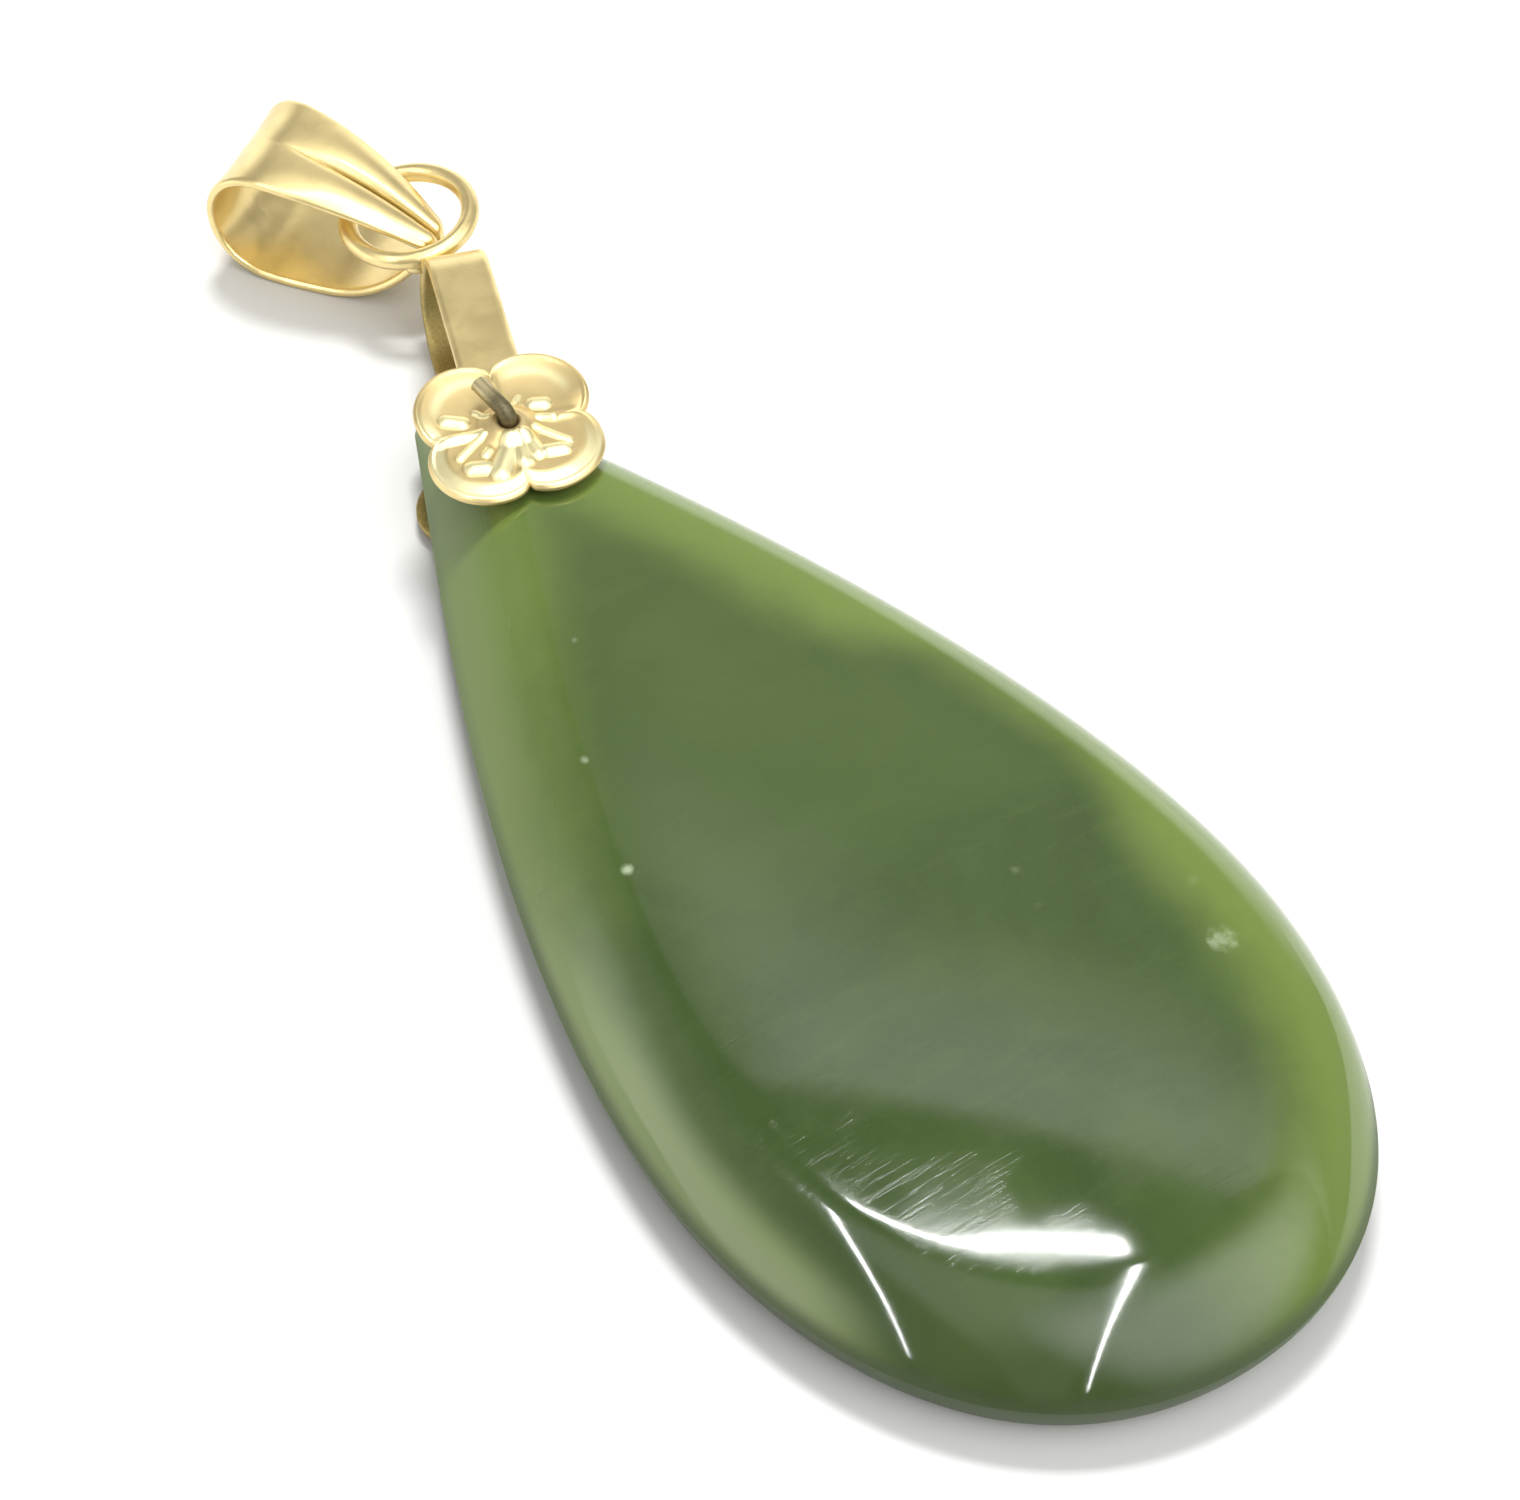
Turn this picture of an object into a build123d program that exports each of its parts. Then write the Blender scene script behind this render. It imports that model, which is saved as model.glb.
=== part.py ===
from build123d import *
import os
from math import cos, radians, sin, sqrt, tan

# A pear-shaped jade pendant that lies on its back. All sizes are in millimetres.
# The origin is on the surface that it lies on, under the middle of the stone's widest line.
# +X is to the right, +Y runs up the stone to its tip and +Z is up, out of the polished front.

# Room left between pieces that are pinned or laid together
gap = 0.05

# Stone: its outline is measured at the girdle, where it is widest
stone_width = 20.0
stone_tail = 12.83
stone_reach = 29.25
stone_height = 4.38
girdle_height = 1.5
tip_radius = 1.0
tip_lean = 24.05
turn_under = 0.6
shoulder = 2.2
crown_radius = 50.0
crown_length_radius = 500.0
crown_crest_up = 5.0
end_fall_radius = 85.0
end_fall_start = 1.0

# Stone: how far its sides run on before they curve away, from the round end up to the tip
tail_fullness = 6.56
low_fullness = 6.72
high_fullness = 9.58
tip_fullness = 7.1

# Stone: the back is ground away towards the tip, where the cap goes under it
back_slope_length = 9.0
back_seat_margin = 0.4

# Cap: all of it is threaded on one pin and has turned a little about that pin
hole_side = 0.3
hole_from_tip = 4.55
strap_turn = 20.0
flower_turn = 16.2

# Strap: one strip folded over the tip of the stone
strap_width = 2.0
strap_thick = 0.3
strap_end_past_hole = 1.3
strap_bend_top = 4.1
strap_fold_reach = 9.85

# Flower: a stamped plate with four petals
flower_notch = 2.3
flower_petal = 3.05
flower_thick = 0.22
flower_rise = 0.38
boss_radius = 0.95
boss_height = 0.28
anther_radius = 0.27
anther_ring = 1.45
filament_radius = 0.08
filament_count = 16

# Back plate: a plain four-petal plate under the stone
back_notch = 2.4
back_petal = 3.25
back_thick = 0.25

# Pin: a wire with a flat head at the back, bent over in front
pin_radius = 0.24
pin_head_radius = 0.75
pin_head_thick = 0.2
pin_stand = 0.05
pin_bend_radius = 0.3
pin_tail = 1.2
pin_tail_climb = 9.0
pin_tail_turn = -7.0

# Ring: a wire ring soldered to the outside of the strap's fold
ring_radius = 2.03
ring_wire = 0.62
ring_solder = 0.12
ring_rise = 0.9
ring_side = -0.98
ring_tilt = 7.0

# Bail: a ribbon folded into a loop, wide at the fold and narrow at the tip in the ring
bail_turn = 28.0
bail_side = -0.2
bail_length = 7.95
bail_height = 4.35
bail_thick = 0.3
bail_fold_width = 4.35
bail_tip_width = 1.3
bail_flank_bulge = 0.4
bail_skew = 9.0
bail_hook = 3.28
bail_tip_top = 3.0
bail_tip_bottom = 2.1
bail_flat_length = 1.9
bail_nose_share = 0.8

# The stone's sections from its flat back up: share of the girdle's height, share of the turn under
side_sections = [(0.0, 1.0), (0.1, 0.67), (0.3, 0.42), (0.62, 0.15), (1.0, 0.0)]
# The sections above the girdle: share of the height from there to the top, share of the shoulder
dome_sections = [
    (0.085, 0.023), (0.226, 0.082), (0.407, 0.205), (0.59, 0.409), (0.737, 0.727),
    (0.81, 1.0), (0.9, 1.6), (1.0, 2.4),
]

half_width = stone_width / 2
dome_height = stone_height - girdle_height
hole_up = stone_reach - hole_from_tip
hole = Vector(hole_side, hole_up, 0)

# The crown curves down towards the tip, and the strap's front leg lies level just above it
strap_angle = radians(strap_turn)
seat_up = hole_up - strap_end_past_hole * cos(strap_angle) - strap_width / 2 * sin(strap_angle)
seat_drop = crown_length_radius - sqrt(crown_length_radius ** 2 - (seat_up - crown_crest_up) ** 2)
seat_height = stone_height - seat_drop

# Heights in the stack on the pin, from the floor up
pin_head_top = gap + pin_head_thick
back_plate_base = pin_head_top + gap
strap_back_base = back_plate_base + back_thick + gap
stone_back_at_hole = strap_back_base + strap_thick + gap
strap_front_top = seat_height + gap + strap_thick
flower_base = strap_front_top + gap

# The strap's round fold, and the ring's middle: how far along the strap, how high, and how far across
fold_radius = strap_bend_top / 2
fold_start = strap_fold_reach - fold_radius
ring_seat_radius = fold_radius + ring_wire / 2 - ring_solder
ring_along = fold_start + sqrt(ring_seat_radius ** 2 - ring_rise ** 2) + ring_radius
ring_middle = (ring_along, fold_radius + ring_rise, ring_side)


def pear(inset, z):
    """The stone's outline at one level, drawn in from the girdle: two curves up each side and a round tip."""
    lean = radians(tip_lean)
    radius = max(tip_radius - inset, tip_radius / 3)
    apex = stone_reach - tip_radius + (tip_radius - inset) / sin(lean)
    centre = apex - radius / sin(lean)
    half = half_width - inset
    tail = stone_tail - inset
    low = tail / stone_tail
    high = (centre + radius) / stone_reach
    touch = Vector(radius * cos(lean), centre + radius * sin(lean))
    upper_end = touch + Vector(sin(lean), -cos(lean)) * tip_fullness * high
    lower = [(0, -tail), (tail_fullness * low, -tail), (half, -low_fullness * low), (half, 0)]
    upper = [(half, 0), (half, high_fullness * high), (upper_end.X, upper_end.Y), (touch.X, touch.Y)]
    edges = [Bezier(*[(x, y, z) for x, y in points]) for points in (lower, upper)]
    edges.append(ThreePointArc((touch.X, touch.Y, z), (0, centre + radius, z), (-touch.X, touch.Y, z)))
    edges += [Bezier(*[(-x, y, z) for x, y in reversed(points)]) for points in (upper, lower)]
    return Wire(edges)


def jade_drop():
    """A flat-backed drop: steep sides that turn under, a crown curved both ways, a ground slope at the back, a bore."""
    sections = [pear(turn_under * inset, girdle_height * level) for level, inset in side_sections]
    for level, inset in dome_sections:
        sections.append(pear(shoulder * inset, girdle_height + dome_height * level))
    stone = Solid.make_loft(sections, ruled=True)
    crown = Rot(Y=90) * Torus(crown_length_radius - crown_radius, crown_radius)
    stone &= Pos(0, crown_crest_up, stone_height - crown_length_radius) * crown
    fall = Pos(0, end_fall_start, stone_height - end_fall_radius) * Rot(Y=90)
    fall *= Cylinder(end_fall_radius, 2 * stone_width)
    fall += Pos(0, end_fall_start + stone_reach, 0) * Box(2 * stone_width, 2 * stone_reach, 4 * stone_height)
    stone &= fall
    level_start = hole_up - back_petal - back_seat_margin
    end = stone_reach + stone_width
    corners = [(level_start - back_slope_length, 0), (level_start, stone_back_at_hole), (end, stone_back_at_hole)]
    ground = make_face(Polyline(*corners, (end, 0), close=True))
    side_view = Plane(origin=(-half_width, 0, 0), x_dir=(0, 1, 0), z_dir=(1, 0, 0))
    stone -= extrude(side_view * ground, amount=stone_width)
    bore = Cylinder(pin_radius + gap, 3 * stone_height)
    return stone - Pos(hole) * bore


def upright(turned):
    """An upright plane through the hole: its x runs up the stone, turned clockwise, and its y runs up."""
    turn = radians(turned)
    return Plane(origin=hole, x_dir=(sin(turn), cos(turn), 0), z_dir=(cos(turn), -sin(turn), 0))


def strap_with_ring():
    """The folded strip with the ring soldered to the outside of its fold."""
    level_end = back_petal + gap
    back_leg = Polyline(
        (-strap_end_past_hole, strap_back_base),
        (level_end, strap_back_base),
        (fold_start, 0),
        (fold_start, strap_thick),
        (level_end, strap_back_base + strap_thick),
        (-strap_end_past_hole, strap_back_base + strap_thick),
        close=True,
    )
    front_leg = Polyline(
        (-strap_end_past_hole, strap_front_top),
        (strap_end_past_hole, strap_front_top),
        (fold_start, strap_bend_top),
        (fold_start, strap_bend_top - strap_thick),
        (strap_end_past_hole, strap_front_top - strap_thick),
        (-strap_end_past_hole, strap_front_top - strap_thick),
        close=True,
    )
    fold = Circle(fold_radius) - Circle(fold_radius - strap_thick)
    fold &= Pos(fold_radius / 2, 0) * Rectangle(fold_radius, strap_bend_top)
    side = make_face(back_leg) + Pos(fold_start, fold_radius) * fold + make_face(front_leg)
    plane = upright(strap_turn)
    strip = extrude(plane * side, amount=strap_width / 2, both=True)
    strip -= Pos(hole) * Cylinder(pin_radius + gap, 3 * stone_height)
    ring = Pos(*ring_middle) * Rot(X=-90 + ring_tilt) * Torus(ring_radius, ring_wire / 2)
    return strip + plane * ring


def four_petals(notch, petal):
    """Outline with a petal on each diagonal: an arc over each petal, between sharp notches."""
    half_chord = notch / sqrt(2)
    rise = petal - half_chord
    radius = (half_chord ** 2 + rise ** 2) / (2 * rise)
    petals = []
    for quarter in range(4):
        lobe = Pos(petal - radius, 0) * Circle(radius)
        petals.append(Rot(Z=45 + 90 * quarter) * lobe)
    core = Rot(Z=45) * Rectangle(2 * half_chord, 2 * half_chord)
    return Sketch() + petals + core


def dish(reach, rise, thick):
    """A round shallow dish whose rim stands higher than its middle."""
    half_way = rise / 4
    under = ThreePointArc((0, 0), (reach / 2, half_way), (reach, rise))
    over = ThreePointArc((reach, rise + thick), (reach / 2, half_way + thick), (0, thick))
    profile = make_face([under, Line(under @ 1, over @ 0), over, Line(over @ 1, under @ 0)])
    return revolve(Plane.XZ * profile, axis=Axis.Z)


def front_flower():
    """A shallow dished plate of four petals, with a raised boss, threads and seeds round the pin."""
    plate = dish(flower_petal + flower_thick, flower_rise, flower_thick)
    plate &= extrude(four_petals(flower_notch, flower_petal), amount=flower_rise + flower_thick)
    from_below = (Align.CENTER, Align.CENTER, Align.MIN)
    boss = Cone(boss_radius, boss_radius / 2, boss_height + flower_thick / 2, align=from_below)
    plate += Pos(0, 0, flower_thick / 2) * boss
    thread = Cylinder(filament_radius, anther_ring, align=from_below)
    for step in range(filament_count):
        turn = 360 / filament_count * (step + 0.5)
        plate += Rot(Z=turn) * Pos(0, 0, flower_thick + filament_radius) * Rot(Y=90) * thread
    seed = Sphere(anther_radius)
    for quarter in range(4):
        plate += Rot(Z=45 + 90 * quarter) * Pos(anther_ring, 0, flower_thick + anther_radius / 2) * seed
    plate -= Cylinder(pin_radius + gap, 3 * stone_height)
    return Pos(hole) * Rot(Z=-flower_turn) * Pos(0, 0, flower_base) * plate


def back_flower():
    """A plain flat plate of four petals between the pin's head and the strap."""
    plate = extrude(four_petals(back_notch, back_petal), amount=back_thick)
    plate -= Cylinder(pin_radius + gap, 3 * stone_height)
    return Pos(hole) * Rot(Z=-flower_turn) * Pos(0, 0, back_plate_base) * plate


def pin():
    """A flat head, a shank through the whole stack, and a tail bent over the flower."""
    shank_top = flower_base + flower_thick + boss_height + pin_stand
    swing = 90 - pin_tail_climb
    shank = Line((0, pin_head_top), (0, shank_top))
    bend = JernArc(shank @ 1, (0, 1), pin_bend_radius, -swing)
    climb = radians(pin_tail_climb)
    tail = Line(bend @ 1, bend @ 1 + Vector(cos(climb), sin(climb)) * pin_tail)
    path = upright(pin_tail_turn) * Wire([shank, bend, tail])
    start = Plane(origin=hole + Vector(0, 0, pin_head_top), z_dir=(0, 0, 1))
    wire = sweep(start * Circle(pin_radius), path=path)
    head = Pos(hole) * Pos(0, 0, gap + pin_head_thick / 2) * Cylinder(pin_head_radius, pin_head_thick)
    return wire + head


def bail():
    """A ribbon loop: its side view is a closed band, trimmed to the tapered outline seen from above."""
    turn = radians(bail_turn)
    along = Vector(-sin(turn), cos(turn), 0)
    across = Vector(cos(turn), sin(turn), 0)
    centre = upright(strap_turn).from_local_coords(Vector(*ring_middle))
    tip = Vector(centre.X, centre.Y, 0) + along * (ring_radius - bail_hook) + across * bail_side
    plane = Plane(origin=tip, x_dir=along, z_dir=across)
    fold = bail_length - bail_height / 2
    tip_start = (bail_tip_top - bail_tip_bottom) / 2 * bail_nose_share
    bottom = Line((fold - bail_flat_length, 0), (fold, 0))
    round_end = ThreePointArc((fold, 0), (bail_length, bail_height / 2), (fold, bail_height))
    front = TangentArc((fold, bail_height), (tip_start, bail_tip_top), tangent=(-1, 0))
    foremost = (0, (bail_tip_top + bail_tip_bottom) / 2)
    nose = ThreePointArc((tip_start, bail_tip_top), foremost, (tip_start, bail_tip_bottom))
    back = TangentArc((fold - bail_flat_length, 0), (tip_start, bail_tip_bottom), tangent=(-1, 0))
    outer = make_face(Wire([bottom, round_end, front, nose, back]))
    band = outer - offset(outer, amount=-bail_thick)
    askew = across + along * tan(radians(bail_skew))
    loop = extrude(plane * band, amount=bail_fold_width, dir=askew, both=True)
    near = bail_tip_width / 2
    far = bail_fold_width / 2
    flank = Vector(bail_length, far - near, 0)
    outward = Vector(-flank.Y, flank.X, 0).normalized()
    middle = Vector(bail_length, near + far, 0) / 2 + outward * bail_flank_bulge
    left = ThreePointArc((0, near), middle, (bail_length, far))
    right = ThreePointArc((0, -near), (middle.X, -middle.Y), (bail_length, -far))
    ends = [Line((0, near), (0, -near)), Line((bail_length, far), (bail_length, -far))]
    outline = make_face(Wire([left, right] + ends))
    from_above = Plane(origin=tip, x_dir=along, z_dir=(0, 0, 1))
    return loop & extrude(from_above * outline, amount=2 * bail_height)


os.makedirs("parts", exist_ok=True)
pieces = {
    "jade_drop": jade_drop(),
    "strap_with_ring": strap_with_ring(),
    "front_flower": front_flower(),
    "back_flower": back_flower(),
    "pin": pin(),
    "bail": bail(),
}
for name, piece in pieces.items():
    export_step(piece, f"parts/{name}.step")
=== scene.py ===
import bpy
import bmesh
import numpy as np
from math import asin, atan2, cos, exp, hypot, pi, radians, sin, sqrt, tan
from mathutils import Matrix, Vector


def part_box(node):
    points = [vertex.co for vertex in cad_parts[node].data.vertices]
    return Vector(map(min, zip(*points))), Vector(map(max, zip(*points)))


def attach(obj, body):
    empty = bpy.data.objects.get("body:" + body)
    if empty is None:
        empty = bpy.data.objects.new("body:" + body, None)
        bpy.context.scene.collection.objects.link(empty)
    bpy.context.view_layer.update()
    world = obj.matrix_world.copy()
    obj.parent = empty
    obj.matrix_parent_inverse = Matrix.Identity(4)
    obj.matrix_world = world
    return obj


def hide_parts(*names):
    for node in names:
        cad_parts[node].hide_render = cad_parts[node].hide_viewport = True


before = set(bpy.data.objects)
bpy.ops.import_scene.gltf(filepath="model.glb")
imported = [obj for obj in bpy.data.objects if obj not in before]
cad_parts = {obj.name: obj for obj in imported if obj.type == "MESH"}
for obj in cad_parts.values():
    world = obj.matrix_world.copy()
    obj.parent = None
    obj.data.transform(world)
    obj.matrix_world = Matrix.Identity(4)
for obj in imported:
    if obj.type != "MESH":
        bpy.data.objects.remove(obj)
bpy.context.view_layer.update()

# Lengths below are in millimetres, and this turns them into metres
MM = 0.001

# The stone. The sizes that the frame gives are read from it
stone_low, stone_high = (np.array(corner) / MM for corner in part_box("jade_drop"))
HALF_WIDTH = stone_high[0]
TAIL = -stone_low[1]
REACH = stone_high[1]
TOP = stone_high[2]
GIRDLE = 1.5
TIP_RADIUS = 1.0
TIP_LEAN = radians(24.05)
END_HANDLE, LOWER_HANDLE, UPPER_HANDLE, TIP_HANDLE = 6.56, 6.72, 9.58, 7.1
SHOULDER, SHOULDER_POWER = 2.2, 2.5
LEFT_SHOULDER, LEFT_POWER = 2.8, 2.0
END_SHOULDER, END_POWER = 3.4, 3.2
NEAR_SIDE = (-0.56, -0.83)
TURN_UNDER = 0.6
EDGE_BREAK = 0.04
CROWN_RADIUS = 50.0
CROWN_LENGTH_RADIUS = 500.0
CREST_UP = 5.0
END_FALL_START = 2.0
END_FALL_RADIUS = 107.0
SLOPE_START, SLOPE_END, SLOPE_HEIGHT = 12.05, 21.05, 0.95
THIN_WIDTH, SIDE_THINNESS = 5.5, 0.9
LOWER_STEPS, UPPER_STEPS, TIP_STEPS = 56, 72, 14
BACK_INSETS = (9.6, 8.0, 6.0, 4.0, 2.2, 1.2, 0.8)
SIDE_SHARES = (0.0, 0.04, 0.1, 0.2, 0.32, 0.45, 0.6, 0.75, 0.88, 0.96, 0.995)
FRONT_INSETS = [3.8, 4.2, 4.6, 5.0, 5.5, 6.0, 6.6, 7.3, 8.1, 8.8, 9.3, 9.6]

# The cap and its pin
back_low, back_high = (np.array(corner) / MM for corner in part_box("back_flower"))
FLOWER_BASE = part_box("front_flower")[0][2] / MM
PIN_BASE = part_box("pin")[0][2] / MM
HOLE = np.array([(back_low[0] + back_high[0]) / 2, (back_low[1] + back_high[1]) / 2])
CAP_TURN = radians(-16.2)
BACK_PLATE_TURN = CAP_TURN + radians(3)
PETAL_STEPS, PETAL_ROWS = 540, 84
PIN_RADIUS = 0.24
PIN_WIRE = PIN_RADIUS + 0.03
HOLE_RADIUS = PIN_RADIUS + 0.05
PIN_TURN = radians(-7.0)
PIN_RISE, PIN_LENGTH, PIN_END_RISE, PIN_CORNER = 0.81, 1.47, 0.17, 0.36
PIN_HEAD = ((0.02, 0), (0.68, 0), (0.74, 0.03), (0.75, 0.1), (0.72, 0.18), (0.6, 0.2), (0.02, 0.2))

# The strap and the ring, which is soldered to its fold
STRAP_TURN = radians(20.0)
STRAP_THICK = 0.3
STRAP_HALF = 1.0
STRAP_LEFT_FLARE, STRAP_RIGHT_TRIM = 0.16, 0.02
STRAP_ROOM = 0.05
STRAP_STEP, STRAP_ROUNDS, FOLD_STEPS, STRAP_STEPS = 0.12, 12, 40, 24
STRAP_FLARE_RANGE, STRAP_SHADE_RANGE = (0.8, 3.6), (2.8, 1.4)
LEG_END, FRONT_STRAIGHT, BACK_STRAIGHT = -1.3, 1.3, 3.3
FRONT_TO_FOLD = (58, 76)
FOLD_HEIGHT = 4.1
FOLD_REACH = 9.85
FOLD_START = FOLD_REACH - FOLD_HEIGHT / 2
RING_RADIUS = 2.03
RING_WIRE = 0.31
RING_SEAT = FOLD_HEIGHT / 2 + RING_WIRE - 0.12
RING_RISE, RING_SIDE = 0.9, -0.98
RING_TILT = radians(7.0)
SOLDER_SIZE = (0.24, 0.55, 0.26)

# The bail
BAIL_TURN = radians(28.0)
BAIL_LENGTH, BAIL_HEIGHT, BAIL_THICK = 7.95, 4.35, 0.3
BAIL_TIP_HALF, BAIL_BULGE = 0.65, 0.4
BAIL_TIP_TOP, BAIL_TIP_BOTTOM, BAIL_NOSE = 3.0, 2.1, 0.36
BAIL_FLAT = 1.9
BAIL_STEPS, BAIL_CLOSER = 60, 1.5
BAIL_SKEW = tan(radians(9.0))
BAIL_TIP_FROM_RING = (0.41, -1.198)
GROOVE_DEPTH, GROOVE_WIDTH, LOBE_RISE, FLARE = 0.24, 0.07, 0.15, 0.16
BAIL_FRONT_RANGE, GROOVE_RANGE = (1.8, 2.8), (6.2, 2.6)
LOBE_RANGE, FLARE_RANGE = (7.0, 3.6), (6.0, 7.6)


# Helpers for meshes

def smoothstep(low, high, value):
    share = np.clip((value - low) / (high - low), 0, 1)
    return share * share * (3 - 2 * share)


def bump_at(value, centre, width):
    return np.exp(-((value - centre) / width) ** 2)


def add_object(name, data):
    item = bpy.data.objects.new(name, data)
    bpy.context.scene.collection.objects.link(item)
    return item


def add_mesh(name, points_mm, faces, smooth=True):
    """A mesh object from points in millimetres."""
    mesh = bpy.data.meshes.new(name)
    points = [tuple(float(c) * MM for c in point) for point in points_mm]
    mesh.from_pydata(points, [], [tuple(int(i) for i in face) for face in faces])
    mesh.update()
    for polygon in mesh.polygons:
        polygon.use_smooth = smooth
    return add_object(name, mesh)


def grid_faces(rows, columns, close_rows=False, close_columns=False):
    """Quads of a grid whose points are numbered row by row."""
    faces = []
    for row in range(rows if close_rows else rows - 1):
        here, below = row * columns, (row + 1) % rows * columns
        for column in range(columns if close_columns else columns - 1):
            after = (column + 1) % columns
            faces.append((here + column, here + after, below + after, below + column))
    return faces


def closed_grid(name, rows):
    """A mesh from rows of points that closes both ways."""
    return add_mesh(name, np.vstack(rows), grid_faces(len(rows), len(rows[0]), True, True))


def angles_of(steps):
    """Even steps once round."""
    return np.linspace(0, 2 * pi, steps, endpoint=False)


def circle_row(angles, radius, height, centre=(0, 0)):
    """Points round an upright axis, at one height or one for each angle."""
    across, along = centre[0] + radius * np.cos(angles), centre[1] + radius * np.sin(angles)
    return np.column_stack([across, along, np.full(len(angles), height)])


def face_out(item):
    """Turns every face of closed shells outwards."""
    work = bmesh.new()
    work.from_mesh(item.data)
    bmesh.ops.recalc_face_normals(work, faces=work.faces)
    work.to_mesh(item.data)
    work.free()


def set_attribute(item, name, values):
    layer = item.data.attributes.new(name, "FLOAT", "POINT")
    layer.data.foreach_set("value", np.asarray(values, dtype=np.float32))


def join(name, items):
    """One smooth object from several meshes."""
    work = bmesh.new()
    for item in items:
        work.from_mesh(item.data)
        bpy.data.objects.remove(item)
    mesh = bpy.data.meshes.new(name)
    work.to_mesh(mesh)
    work.free()
    for polygon in mesh.polygons:
        polygon.use_smooth = True
    return add_object(name, mesh)


def place(item, matrix):
    """Moves a mesh in its own points."""
    item.data.transform(matrix)
    return item


def turned(turn, place_mm, axis="Z"):
    """A turn about an axis, and then a move."""
    return Matrix.Translation(Vector(place_mm) * MM) @ Matrix.Rotation(turn, 4, axis)


def standing(turn, place_mm):
    """Puts a piece drawn as (along, across, up) on the floor, turned clockwise from +Y."""
    along = Vector((sin(turn), cos(turn), 0))
    across = Vector((cos(turn), -sin(turn), 0))
    return Matrix((
        (along.x, across.x, 0, place_mm[0] * MM),
        (along.y, across.y, 0, place_mm[1] * MM),
        (0, 0, 1, 0),
        (0, 0, 0, 1),
    ))


# Helpers for node trees

def node(tree, kind, **settings):
    made = tree.nodes.new(kind)
    for name, value in settings.items():
        setattr(made, name, value)
    return made


def feed(tree, source, target):
    """Links a socket, or sets it to a plain value. Colours come without alpha."""
    if isinstance(source, bpy.types.NodeSocket):
        tree.links.new(source, target)
    else:
        target.default_value = (*source, 1.0) if target.type == "RGBA" else source


def feed_all(tree, made, **values):
    """Feeds a node's inputs by name, with _ for a space."""
    for name, value in values.items():
        feed(tree, value, made.inputs[name.replace("_", " ")])


def group_of(name, inputs, outputs, kind="ShaderNodeTree"):
    """An empty node group with its named sockets: (tree, its inputs, its outputs)."""
    tree = bpy.data.node_groups.new(name, kind)
    for label, socket_type, value in inputs:
        socket = tree.interface.new_socket(label, in_out="INPUT", socket_type=socket_type)
        if value is not None:
            socket.default_value = value
    for label, socket_type in outputs:
        tree.interface.new_socket(label, in_out="OUTPUT", socket_type=socket_type)
    return tree, node(tree, "NodeGroupInput"), node(tree, "NodeGroupOutput")


def mix_colour(tree, factor, first, second):
    """A mix of two colours. It gives the result's socket, as the helpers after it do."""
    mixer = node(tree, "ShaderNodeMix", data_type="RGBA", blend_type="MIX")
    for number, value in ((0, factor), (6, first), (7, second)):
        feed(tree, value, mixer.inputs[number])
    return mixer.outputs[2]


def calculate(tree, operation, *values, clamp=False):
    """One Math node on sockets or plain numbers."""
    made = node(tree, "ShaderNodeMath", operation=operation, use_clamp=clamp)
    for socket, value in zip(made.inputs, values):
        feed(tree, value, socket)
    return made.outputs[0]


def one_by_one(tree, operation, first, *others):
    """An operation that takes in several values, from the first on."""
    for other in others:
        first = calculate(tree, operation, first, other)
    return first


def product(tree, *values):
    return one_by_one(tree, "MULTIPLY", *values)


def total(tree, *values):
    return one_by_one(tree, "ADD", *values)


def most(tree, *values):
    return one_by_one(tree, "MAXIMUM", *values)


def spread(tree, value, low, high, to_low=0.0, to_high=1.0):
    """A smooth step of a value from one range to another."""
    made = node(tree, "ShaderNodeMapRange", interpolation_type="SMOOTHSTEP")
    feed_all(tree, made, Value=value, From_Min=low, From_Max=high, To_Min=to_low, To_Max=to_high)
    return made.outputs["Result"]


def noise(tree, vector, scale, detail=3.0, roughness=0.5, distortion=0.0):
    made = node(tree, "ShaderNodeTexNoise")
    feed_all(tree, made, Vector=vector, Scale=scale, Detail=detail, Roughness=roughness,
             Distortion=distortion)
    return made.outputs["Fac"]


def stretched(tree, vector, turn, scale):
    """Coordinates turned about Z and scaled, for marks that run one way."""
    made = node(tree, "ShaderNodeMapping")
    feed_all(tree, made, Vector=vector, Rotation=(0, 0, turn), Scale=scale)
    return made.outputs["Vector"]


def scaled(tree, vector, factor):
    made = node(tree, "ShaderNodeVectorMath", operation="SCALE")
    feed(tree, vector, made.inputs[0])
    feed(tree, factor, made.inputs["Scale"])
    return made.outputs[0]


def measured_to(tree, operation, vector, point):
    """The distance to a point, or the dot product with it."""
    made = node(tree, "ShaderNodeVectorMath", operation=operation)
    feed(tree, vector, made.inputs[0])
    made.inputs[1].default_value = point
    return made.outputs["Value"]


def parts_of(tree, vector):
    made = node(tree, "ShaderNodeSeparateXYZ")
    feed(tree, vector, made.inputs[0])
    return tuple(made.outputs)


def attribute(tree, name):
    return node(tree, "ShaderNodeAttribute", attribute_name=name).outputs["Fac"]


def bump(tree, height, strength, depth_mm, over=None, invert=False):
    """A relief from a height, over another one's normal if given."""
    made = node(tree, "ShaderNodeBump", invert=invert)
    feed_all(tree, made, Height=height, Strength=strength, Distance=depth_mm * MM)
    if over is not None:
        feed(tree, over, made.inputs["Normal"])
    return made.outputs["Normal"]


def place_group(tree, group, **values):
    made = node(tree, "ShaderNodeGroup", node_tree=group)
    feed_all(tree, made, **values)
    return made.outputs


# Effects that more than one finish uses

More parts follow.
